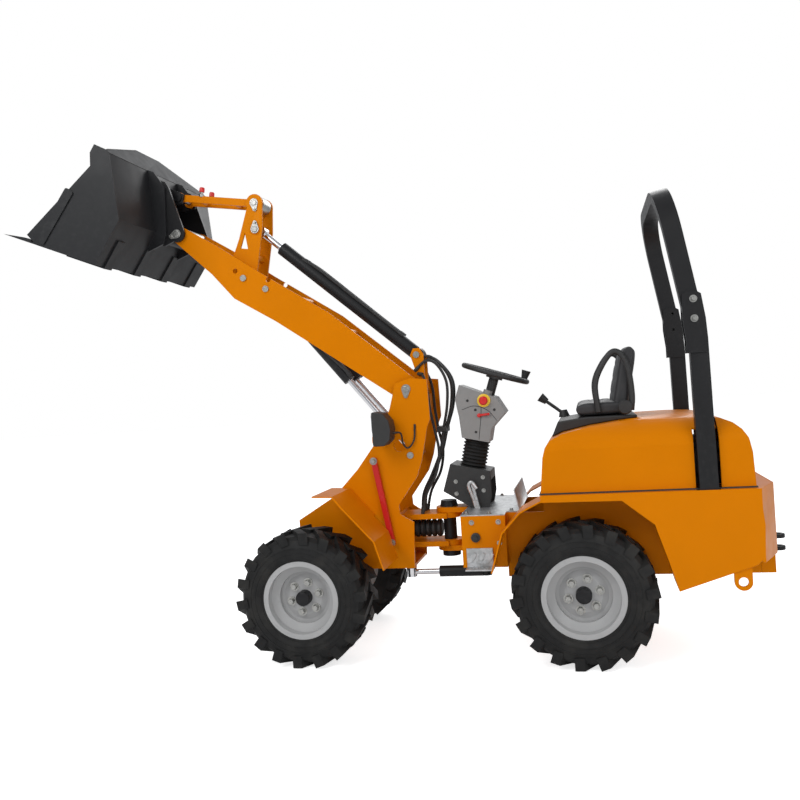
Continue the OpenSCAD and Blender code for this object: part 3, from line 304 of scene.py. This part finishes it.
def lathe(bm, profile, place, axis, steps=40):
    """A turned form: points of radius and height in millimetres, about an axis at a place."""
    turn = Matrix.Translation(place) @ basis(axis)
    rings = []
    for r, h in profile:
        ring = []
        for i in range(steps):
            a = 2 * math.pi * i / steps
            ring.append(bm.verts.new(turn @ (Vector((r * math.cos(a), r * math.sin(a), h)) * MM)))
        rings.append(ring)
    for a, b in zip(rings, rings[1:]):
        for i in range(steps):
            j = (i + 1) % steps
            bm.faces.new((a[i], a[j], b[j], b[i]))
    for ring in (rings[0], rings[-1]):
        bm.faces.new(ring)


def hex_bolt(bm, place, axis, size):
    """A bolt head of a size across flats in millimetres, on a washer."""
    lathe(bm, [(size * 0.85, 0), (size * 0.85, size * 0.12), (size * 0.5, size * 0.12)], place, axis, 24)
    turn = Matrix.Translation(place) @ basis(axis)
    r = size / math.sqrt(3)
    rows = [(r, 0.12), (r, 0.62), (r * 0.88, 0.74)]
    rings = []
    for radius, h in rows:
        rings.append([bm.verts.new(turn @ (Vector((radius * math.cos(i * math.pi / 3),
                                                   radius * math.sin(i * math.pi / 3), size * h)) * MM))
                      for i in range(6)])
    for a, b in zip(rings, rings[1:]):
        for i in range(6):
            bm.faces.new((a[i], a[(i + 1) % 6], b[(i + 1) % 6], b[i]))
    bm.faces.new(rings[-1])


def bolts(name, places, body, size, finish=None):
    """Bolt heads joined in one piece; each place is a point and the way its head faces."""
    bm = bmesh.new()
    for place, axis in places:
        hex_bolt(bm, place, axis, size)
    return piece(name, bm, body, finish or zinc)


def smooth_path(points, per=8):
    """Points on a smooth curve through the given ones."""
    pts = [points[0] * 2 - points[1], *points, points[-1] * 2 - points[-2]]
    out = []
    for i in range(1, len(pts) - 2):
        a, b, c, d = pts[i - 1:i + 3]
        for k in range(per):
            t = k / per
            out.append(0.5 * (2 * b + (c - a) * t + (2 * a - 5 * b + 4 * c - d) * t * t
                              + (3 * b - a - 3 * c + d) * t ** 3))
    return out + [points[-1]]


def sweep(bm, path, radius, sides=10):
    """A round tube in millimetres along a path."""
    rings = []
    side = None
    for i, p in enumerate(path):
        ahead = (path[min(i + 1, len(path) - 1)] - path[max(i - 1, 0)]).normalized()
        if side is None:
            side = ahead.orthogonal().normalized()
        side = (side - ahead * side.dot(ahead)).normalized()
        other = ahead.cross(side)
        ring = []
        for k in range(sides):
            a = 2 * math.pi * k / sides
            ring.append(bm.verts.new(p + (side * math.cos(a) + other * math.sin(a)) * radius * MM))
        rings.append(ring)
    for a, b in zip(rings, rings[1:]):
        for k in range(sides):
            bm.faces.new((a[k], a[(k + 1) % sides], b[(k + 1) % sides], b[k]))
    bm.faces.new(rings[0])
    bm.faces.new(rings[-1])


def hose(name, points, radius, body):
    """A hose through points, with crimped ends."""
    path = smooth_path(points)
    bm = bmesh.new()
    sweep(bm, path, radius)
    for end, inner in ((path[0], path[2]), (path[-1], path[-3])):
        lathe(bm, [(radius * 1.25, 0), (radius * 1.25, 28), (radius * 1.1, 30)], end, inner - end, 16)
    return piece(name, bm, body, rubber)


def slab(bm, outline, thickness, turn):
    """A flat plate of an outline in millimetres, placed by a matrix."""
    low = [bm.verts.new(turn @ (Vector((x, y, 0)) * MM)) for x, y in outline]
    high = [bm.verts.new(turn @ (Vector((x, y, thickness)) * MM)) for x, y in outline]
    bm.faces.new(low)
    bm.faces.new(high)
    n = len(outline)
    for i in range(n):
        bm.faces.new((low[i], low[(i + 1) % n], high[(i + 1) % n], high[i]))


# Solids whose edges are rounded: name, width in millimetres, segments
for node, width, segments in [
        ("hood_front", 3, 2), ("hood_rear", 3, 2), ("work_lamps", 16, 4), ("rear_body", 3, 2), ("rear_frame", 2, 2),
        ("front_frame", 2, 2), ("boom", 2, 2), ("lever", 2, 2), ("link", 4, 3), ("quick_hitch", 2, 2),
        ("bucket", 2, 2), ("rops_posts", 7, 3), ("rops_hoop", 9, 3), ("seat_base", 10, 3), ("console", 7, 3),
        ("column_housing", 10, 3), ("tow_hitch", 3, 2), ("safety_strut", 4, 3), ("deck", 1, 1), ("steps", 1, 1)]:
    softened(node, width, segments)

# Wheels: hub cap, lug nuts and sidewall rings
DISC_OUT = 34.8
LUG_CIRCLE = 66
HUB_CAP = [(0, 46), (20, 46), (30, 42), (33, 34), (33, 0), (0, 0)]
# Columns: radius, tube radius and distance from the tyre's middle plane
SIDE_RINGS = [(180, 2.6, 102.6), (205, 2.0, 107.2), (228, 2.2, 105.6)]
for wheel in ("fl", "fr", "rl", "rr"):
    side = -1 if wheel[1] == "l" else 1
    out = Vector((0, side, 0))
    hub = pivot["wheel_" + wheel]
    disc = hub + out * DISC_OUT * MM
    bm = bmesh.new()
    lathe(bm, HUB_CAP, disc, out, 40)
    piece("hub_cap_" + wheel, bm, "wheel_" + wheel, black_paint)
    places = []
    for i in range(6):
        a = math.radians(60 * i + 15)
        places.append((disc + Vector((math.cos(a), 0, math.sin(a))) * LUG_CIRCLE * MM, out))
    bolts("lug_nuts_" + wheel, places, "wheel_" + wheel, 24)
    bm = bmesh.new()
    for radius, tube, away in SIDE_RINGS:
        ring = [hub + out * away * MM + Vector((math.cos(a), 0, math.sin(a))) * radius * MM
                for a in [2 * math.pi * k / 72 for k in range(73)]]
        sweep(bm, ring, tube, 6)
    piece("sidewall_rings_" + wheel, bm, "wheel_" + wheel, tyre_black)


# Pins: a pear-shaped keeper plate and its bolt at each pin's near and far end
def pear(big, small, reach, steps=14):
    """The outline around two circles, the small one ahead on +X."""
    tangent = math.acos((big - small) / reach)
    outline = []
    for k in range(steps + 1):
        a = tangent + (2 * math.pi - 2 * tangent) * k / steps
        outline.append((big * math.cos(a), big * math.sin(a)))
    for k in range(steps + 1):
        a = -tangent + 2 * tangent * k / steps
        outline.append((reach + small * math.cos(a), small * math.sin(a)))
    return outline


# Columns: joint or place of the pin, body, distance from the centre plane, angle of the keeper
KEEPERS = [
    ("link_level", "lever", 72.4, 275), ("rod", "lever", 78.4, 85), ("bucket", "bucket", 138, 200),
    ("boom", "front", 150, 265),
]
KEEPER_REACH = 32
KEEPER_THICKNESS = 4
PIN_AT = dict(pivot)
PIN_AT["rod"] = (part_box("rod_pin")[0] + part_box("rod_pin")[1]) / 2
for place, body, reach, angle in KEEPERS:
    bm = bmesh.new()
    heads = []
    for side in (-1, 1):
        centre = Vector((PIN_AT[place].x, side * reach * MM, PIN_AT[place].z))
        facing = Matrix.Rotation(math.radians(-90 * side), 4, "X")
        turn = Matrix.Translation(centre) @ facing @ Matrix.Rotation(math.radians(-side * angle), 4, "Z")
        slab(bm, pear(21, 10, KEEPER_REACH), KEEPER_THICKNESS, turn)
        lathe(bm, [(15, 0), (15, 6), (13, 8), (4, 8)], centre, (0, side, 0), 24)
        heads.append((turn @ (Vector((KEEPER_REACH, 0, KEEPER_THICKNESS)) * MM), (0, side, 0)))
    bevelled(piece("keepers_" + place, bm, body, zinc), 0.8)
    bolts("keeper_bolts_" + place, heads, body, 11)

# Bolts on panels, brackets and the console
BRACKET_Y = 431
ROPS_BOLTS = [(486, 1381), (486, 1457)]
bolts("rops_bolts", [(at(x, side * BRACKET_Y, z), (0, side, 0)) for x, z in ROPS_BOLTS for side in (-1, 1)],
      "rear", 17)
CONSOLE_BOLTS = [(-545, 745), (-420, 760), (-545, 690), (-420, 700)]
bolts("console_bolts", [(at(x, side * 95, z), (0, side, 0)) for x, z in CONSOLE_BOLTS for side in (-1, 1)],
      "rear", 11)
STRUT_ENDS = [(-905, 863), (-843, 488)]
bolts("strut_bolts", [(at(x, -176.4, z), (0, -1, 0)) for x, z in STRUT_ENDS], "front", 20)
BAY_BOLTS = [(-455, 590), (-340, 590), (-340, 500)]
bolts("bay_bolts", [(at(x, side * 300, z), (0, side, 0)) for x, z in BAY_BOLTS for side in (-1, 1)], "rear", 13)
DECK_BOLTS = [(-480, 260), (-480, -260), (-380, 280), (-380, -280), (-290, 200), (-290, -200)]
bolts("deck_bolts", [(at(x, y, 623), (0, 0, 1)) for x, y in DECK_BOLTS], "rear", 13)

# Steering column: stop button, lever and cover seams on its left face, and screws
COLUMN_FACE = -78
STOP_AT = at(-395, COLUMN_FACE, 1106)
LEVER_AT = at(-420, COLUMN_FACE, 1040)
bm = bmesh.new()
lathe(bm, [(30, 0), (30, 5), (27, 7), (16, 7)], STOP_AT, (0, -1, 0), 32)
piece("stop_ring", bm, "rear", ring_yellow)
bm = bmesh.new()
lathe(bm, [(10, 6), (10, 14), (19, 16), (20, 22), (17, 28), (6, 30)], STOP_AT, (0, -1, 0), 32)
piece("stop_button", bm, "rear", red_plastic)
bm = bmesh.new()
lathe(bm, [(9, 0), (9, 8), (5, 10)], LEVER_AT, (0, -1, 0), 24)
sweep(bm, [at(-420, -86, 1040), at(-400, -88, 1042), at(-372, -88, 1044)], 5.5, 10)
piece("throttle_lever", bm, "rear", red_plastic)
bm = bmesh.new()
sweep(bm, smooth_path([at(-408, -78, 1100), at(-412, -78.4, 1040), at(-424, -78.4, 960), at(-428, -78, 930)]), 1.2, 6)
sweep(bm, smooth_path([at(-498, -78, 1070), at(-440, -78.4, 1084), at(-380, -78.4, 1060), at(-340, -78, 1010)]),
      1.2, 6)
piece("housing_seams", bm, "rear", black_plastic)
HOUSING_SCREWS = [(-470, 1110), (-436, 1066), (-350, 1062), (-440, 965)]
bolts("housing_screws", [(at(x, side * -COLUMN_FACE, z), (0, side, 0)) for x, z in HOUSING_SCREWS for side in (-1, 1)],
      "rear", 7, black_plastic)

# Bent round lever beside the console
bm = bmesh.new()
sweep(bm, smooth_path([at(-455, -112, 622), at(-470, -114, 680), at(-484, -116, 725), at(-470, -118, 742),
                       at(-448, -122, 712)]), 9, 12)
piece("pedal_lever", bm, "rear", galvanised)

# Battery switch on the left of the front bay
bm = bmesh.new()
lathe(bm, [(20, 0), (20, 10), (15, 12), (9, 12), (9, 22), (4, 22)], at(-440, -300, 526), (0, -1, 0), 28)
piece("battery_switch", bm, "rear", black_plastic)

# Diamond grip on the steps' upright plates
bm = bmesh.new()
for side in (-1, 1):
    for i in range(3):
        centre = at(-458 + i * 37, side * 306, 440)
        facing = Matrix.Rotation(math.radians(-90 * side), 4, "X")
        turn = Matrix.Translation(centre) @ facing @ Matrix.Rotation(math.radians(-side * 145), 4, "Z")
        slab(bm, [(-6, -22), (6, -22), (9, 0), (6, 22), (-6, 22), (-9, 0)], 7, turn)
piece("step_grips", bm, "rear", galvanised)

# Black seal between the hood and the lower body
bm = bmesh.new()
HOOD_HALF, HOOD_FRONT, HOOD_END, SEAL_Z = 400, -149, 681, 713
CORNERS = [(HOOD_FRONT, -HOOD_HALF), (HOOD_END, -HOOD_HALF), (HOOD_END, HOOD_HALF), (HOOD_FRONT, HOOD_HALF)]
ring = [at(x, y, SEAL_Z) for x, y in CORNERS + CORNERS[:1]]
for a, b in zip(ring, ring[1:]):
    sweep(bm, [a, b], 5, 8)
piece("hood_seal", bm, "rear", rubber)

# Top of the lower body behind the hood
BODY_TOP = 708.5
bm = bmesh.new()
slab(bm, [(678, -423), (690, -423), (761, -256), (761, 256), (690, 423), (678, 423)], 3,
     Matrix.Translation(at(0, 0, BODY_TOP)))
piece("body_cap", bm, "rear", yellow)


# Work lamps: a headlamp lens over an amber lens on each housing's front, and a lead
def rounded(width, height, radius, steps=6):
    """The outline of a rectangle with rounded corners, about its middle."""
    outline = []
    for k, (sx, sy) in enumerate(((1, 1), (-1, 1), (-1, -1), (1, -1))):
        for n in range(steps + 1):
            a = math.radians(90 * (k + n / steps))
            outline.append((sx * (width / 2 - radius) + radius * math.cos(a),
                            sy * (height / 2 - radius) + radius * math.sin(a)))
    return outline


# Turns a plate's face towards the machine's front
FORWARD = Matrix(((0, 0, -1, 0), (-1, 0, 0, 0), (0, 1, 0, 0), (0, 0, 0, 1)))
for side in (-1, 1):
    name = "left" if side < 0 else "right"
    for label, z, height, finish, slot in (("lens", 1036, 86, lens_glass, "galvanised"),
                                           ("amber", 964, 40, amber, "red_paint")):
        bm = bmesh.new()
        slab(bm, rounded(82, height, 14), 7, Matrix.Translation(at(-872, side * 230, z)) @ FORWARD)
        bevelled(piece("lamp_%s_%s" % (label, name), bm, "front", finish), 3, 2)
    hose("lamp_lead_" + name, [at(-800, side * 222, 990), at(-765, side * 195, 985), at(-762, side * 168, 935),
                               at(-740, side * 162, 915), at(-712, side * 160, 950), at(-706, side * 152, 1020)],
         4, "front")

# Hoses: over the mast's back to the console, along the tilt cylinder, and to the lift cylinders
# Columns: place across the machine and slack
BACK_HOSES = [(-50, 0), (-26, 22), (24, 8), (44, 16)]
for i, (y, slack) in enumerate(BACK_HOSES):
    hose("back_hose_%d" % i, [at(-712, y, 1262), at(-655, y, 1306 + slack), at(-606 + slack / 2, y, 1286),
                              at(-566 + slack, y, 1205), at(-570 + slack, y * 0.9, 1095),
                              at(-596 + slack / 2, y * 0.7, 985), at(-618, y * 0.7, 880), at(-662, y * 0.8, 780),
                              at(-708, y * 0.8, 690), at(-720, y * 0.8, 596)], 6.5, "front")
for i, y in enumerate((-72, 68)):
    hose("mast_hose_%d" % i, [at(-695, y * 0.7, 1248), at(-672, y * 0.92, 1240), at(-655, y, 1180),
                              at(-648, y * 0.9, 1080), at(-634, y * 0.7, 980), at(-620, y * 0.8, 880),
                              at(-640, y * 0.9, 780), at(-690, y * 0.9, 690), at(-715, y * 0.9, 596)], 6.5, "front")
bm = bmesh.new()
slab(bm, rounded(100, 26, 8), 46, Matrix.Translation(at(-580, 0, 985)) @ FORWARD)
piece("hose_clip", bm, "front", black_plastic)
for i, y in enumerate((-20, 20)):
    hose("tilt_pipe_%d" % i, [at(-760, y, 1432), at(-860, y, 1520), at(-1000, y, 1646), at(-1150, y, 1780),
                              at(-1230, y, 1838)], 8, "tilt_barrel")
for side in (-1, 1):
    hose("lift_hose_%d" % side, [at(-1215, side * 92, 1470), at(-1130, side * 98, 1392), at(-1030, side * 98, 1290),
                                 at(-1009, side * 84, 1257)], 9, "lift_barrels")

# Hydraulic couplings with red dust caps on the link's bars
bm = bmesh.new()
bodies = bmesh.new()
LINK_UP = Vector((0.18, 0, 0.984))
for y in (-54, 54):
    foot = at(-1717, y, 2191)
    lathe(bodies, [(11, -3), (11, 10), (8, 12), (8, 20), (11, 21)], foot, LINK_UP, 20)
    lathe(bm, [(11, 20), (13, 22), (13, 38), (10, 43), (4, 44)], foot, LINK_UP, 20)
piece("coupling_caps", bm, "link", red_plastic)
piece("couplings", bodies, "link", zinc)

# Ribbed boot round the hoses through the articulation
bm = bmesh.new()
low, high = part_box("hinge_boot")
middle = (low + high) / 2
length = (high.x - low.x) / MM
ribs = 7
profile = [(6, 0)]
for i in range(ribs):
    profile += [(33, length * i / ribs), (42, length * (i + 0.3) / ribs), (42, length * (i + 0.7) / ribs)]
profile += [(33, length), (6, length)]
lathe(bm, profile, Vector((low.x, middle.y, middle.z)), (1, 0, 0), 36)
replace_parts(piece("hinge_boot_ribs", bm, "front", rubber), "hinge_boot")


# Seat: a crowned cushion and a shaped back in black vinyl
def pad(name, centre, half, turn, crown, channels, node, steps=28):
    """A stuffed pad: a rounded block, crowned on its face, with sewn channels across it."""
    bm = bmesh.new()
    bmesh.ops.create_cube(bm, size=2)
    bmesh.ops.subdivide_edges(bm, edges=bm.edges, cuts=steps, use_grid_fill=True)
    for v in bm.verts:
        x, y, z = v.co
        pull = (1 - 0.18 * abs(y) ** 6 * abs(z) ** 2) * (1 - 0.04 * (1 - y * y))
        px = x * pull * (1 - 0.1 * abs(z) ** 4)
        py = y * (1 - 0.06 * abs(z) ** 4) * (1 - 0.03 * (1 - x * x))
        pz = z * (1 - 0.12 * abs(x) ** 6) * (1 - 0.12 * abs(y) ** 6)
        if z > 0:
            swell = (1 - x ** 4) * (1 - y ** 4) * crown
            seam = sum(math.exp(-((x - c) / 0.045) ** 2) for c in channels) * 0.10 * (1 - abs(y) ** 8)
            pz += z * (swell - seam)
        v.co = (px * half[0], py * half[1], pz * half[2])
    bm.transform(Matrix.Translation(centre) @ turn)
    obj = piece(name, bm, "rear", vinyl, 80)
    mod = obj.modifiers.new("smooth", "SUBSURF")
    mod.levels = 1
    applied(obj)
    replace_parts(obj, node)
    return obj


low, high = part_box("seat_cushion")
size = (high - low) / 2
pad("seat_pad", (low + high) / 2 - Vector((0, 0, size.z * 0.06)), (size.x, size.y, size.z * 0.92), Matrix.Identity(4),
    0.14, (-0.45, 0.05, 0.5), "seat_cushion")
low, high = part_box("seat_back")
lean = Matrix.Rotation(math.radians(-78), 4, "Y")
pad("seat_back_pad", (low + high) / 2, ((high.z - low.z) / 2 * 0.98, (high.y - low.y) / 2, 0.034), lean,
    0.25, (-0.5, 0.0, 0.5), "seat_back")

# Side loops and adjuster of the seat
LOOP = [(105, 1030), (98, 1145), (130, 1225), (177, 1280), (215, 1262), (238, 1195), (246, 1095), (240, 1030)]
bm = bmesh.new()
for side in (-1, 1):
    sweep(bm, smooth_path([at(x, side * 212, z) for x, z in LOOP]), 13, 12)
    lathe(bm, [(30, 0), (30, 12), (26, 16), (8, 16)], at(215, side * 222, 1045), (0, side, 0), 28)
piece("seat_wings", bm, "rear", black_plastic)

# Strengthening strip along each side of the bucket
bm = bmesh.new()
for side in (-1, 1):
    start, end = at(-2152, side * 479, 2180), at(-2326, side * 479, 1959)
    along = (end - start).normalized()
    facing = Vector((0, side, 0))
    turn = Matrix.Translation(start) @ Matrix((along, facing.cross(along), facing)).transposed().to_4x4()
    slab(bm, rounded((end - start).length / MM, 46, 10), 7,
         turn @ Matrix.Translation(Vector(((end - start).length / 2, 0, 0))))
piece("bucket_strips", bm, "bucket", bucket_paint)

# Floor, light and camera
bm = bmesh.new()
bmesh.ops.create_grid(bm, x_segments=1, y_segments=1, size=30)
mesh = bpy.data.meshes.new("floor")
bm.to_mesh(mesh)
bm.free()
floor = bpy.data.objects.new("floor", mesh)
scene.collection.objects.link(floor)
mat, nt, shader = tree("floor_white")
nt.links.new(blend_colours(nt, noise(nt, 0.6), (0.94, 0.94, 0.94), (0.96, 0.96, 0.96)), shader.inputs["Base Color"])
shader.inputs["Roughness"].default_value = 0.9
shader.inputs["Emission Color"].default_value = (1, 1, 1, 1)
glow = nt.nodes.new("ShaderNodeMath")
glow.operation = "MULTIPLY"
glow.inputs[1].default_value = 0.7
nt.links.new(nt.nodes.new("ShaderNodeLightPath").outputs["Is Camera Ray"], glow.inputs[0])
nt.links.new(glow.outputs["Value"], shader.inputs["Emission Strength"])
mesh.materials.append(mat)

world = bpy.data.worlds.new("studio")
scene.world = world
world.use_nodes = True
wt = world.node_tree
light = wt.nodes["Background"]
light.inputs["Color"].default_value = (0.95, 0.97, 1.0, 1)
light.inputs["Strength"].default_value = 0.46
seen = wt.nodes.new("ShaderNodeBackground")
seen.inputs["Color"].default_value = (1, 1, 1, 1)
rays = wt.nodes.new("ShaderNodeLightPath")
choice = wt.nodes.new("ShaderNodeMixShader")
wt.links.new(rays.outputs["Is Camera Ray"], choice.inputs["Fac"])
wt.links.new(light.outputs["Background"], choice.inputs[1])
wt.links.new(seen.outputs["Background"], choice.inputs[2])
wt.links.new(choice.outputs["Shader"], wt.nodes["World Output"].inputs["Surface"])


def lamp(name, place, target, size, power):
    """A soft rectangular light aimed at a point."""
    data = bpy.data.lights.new(name, "AREA")
    data.size = size
    data.energy = power
    obj = bpy.data.objects.new(name, data)
    scene.collection.objects.link(obj)
    obj.location = place
    obj.rotation_euler = (Vector(target) - Vector(place)).to_track_quat("-Z", "Y").to_euler()


MIDDLE = (0, 0, 1.0)
lamp("key", (-2.5, -4.5, 5.0), MIDDLE, 3.5, 175)
lamp("fill", (4.0, -4.0, 3.0), MIDDLE, 3.5, 80)
lamp("back", (1.0, 4.5, 4.5), MIDDLE, 3.5, 115)

# The camera stands at the machine's left, a little behind its middle, as measured from the photograph
CAMERA_AT = (69.1, -3795.1, 1184.6)
FOCAL_PIXELS = 822.1
FRAME_PIXELS = 800
YAW, PITCH, ROLL = (math.radians(d) for d in (-12.92, -0.78, -3.85))
ahead = Vector((math.sin(YAW) * math.cos(PITCH), math.cos(YAW) * math.cos(PITCH), math.sin(PITCH)))
right = Vector((math.cos(YAW), -math.sin(YAW), 0))
up = right.cross(ahead)
right, up = (right * math.cos(ROLL) + up * math.sin(ROLL), up * math.cos(ROLL) - right * math.sin(ROLL))
lens = bpy.data.cameras.new("camera")
lens.sensor_width = 36
lens.lens = FOCAL_PIXELS / FRAME_PIXELS * lens.sensor_width
camera = bpy.data.objects.new("camera", lens)
scene.collection.objects.link(camera)
turn = Matrix((right, up, -ahead)).transposed().to_4x4()
camera.matrix_world = Matrix.Translation(at(*CAMERA_AT)) @ turn
scene.camera = camera
scene.view_settings.view_transform = "Standard"
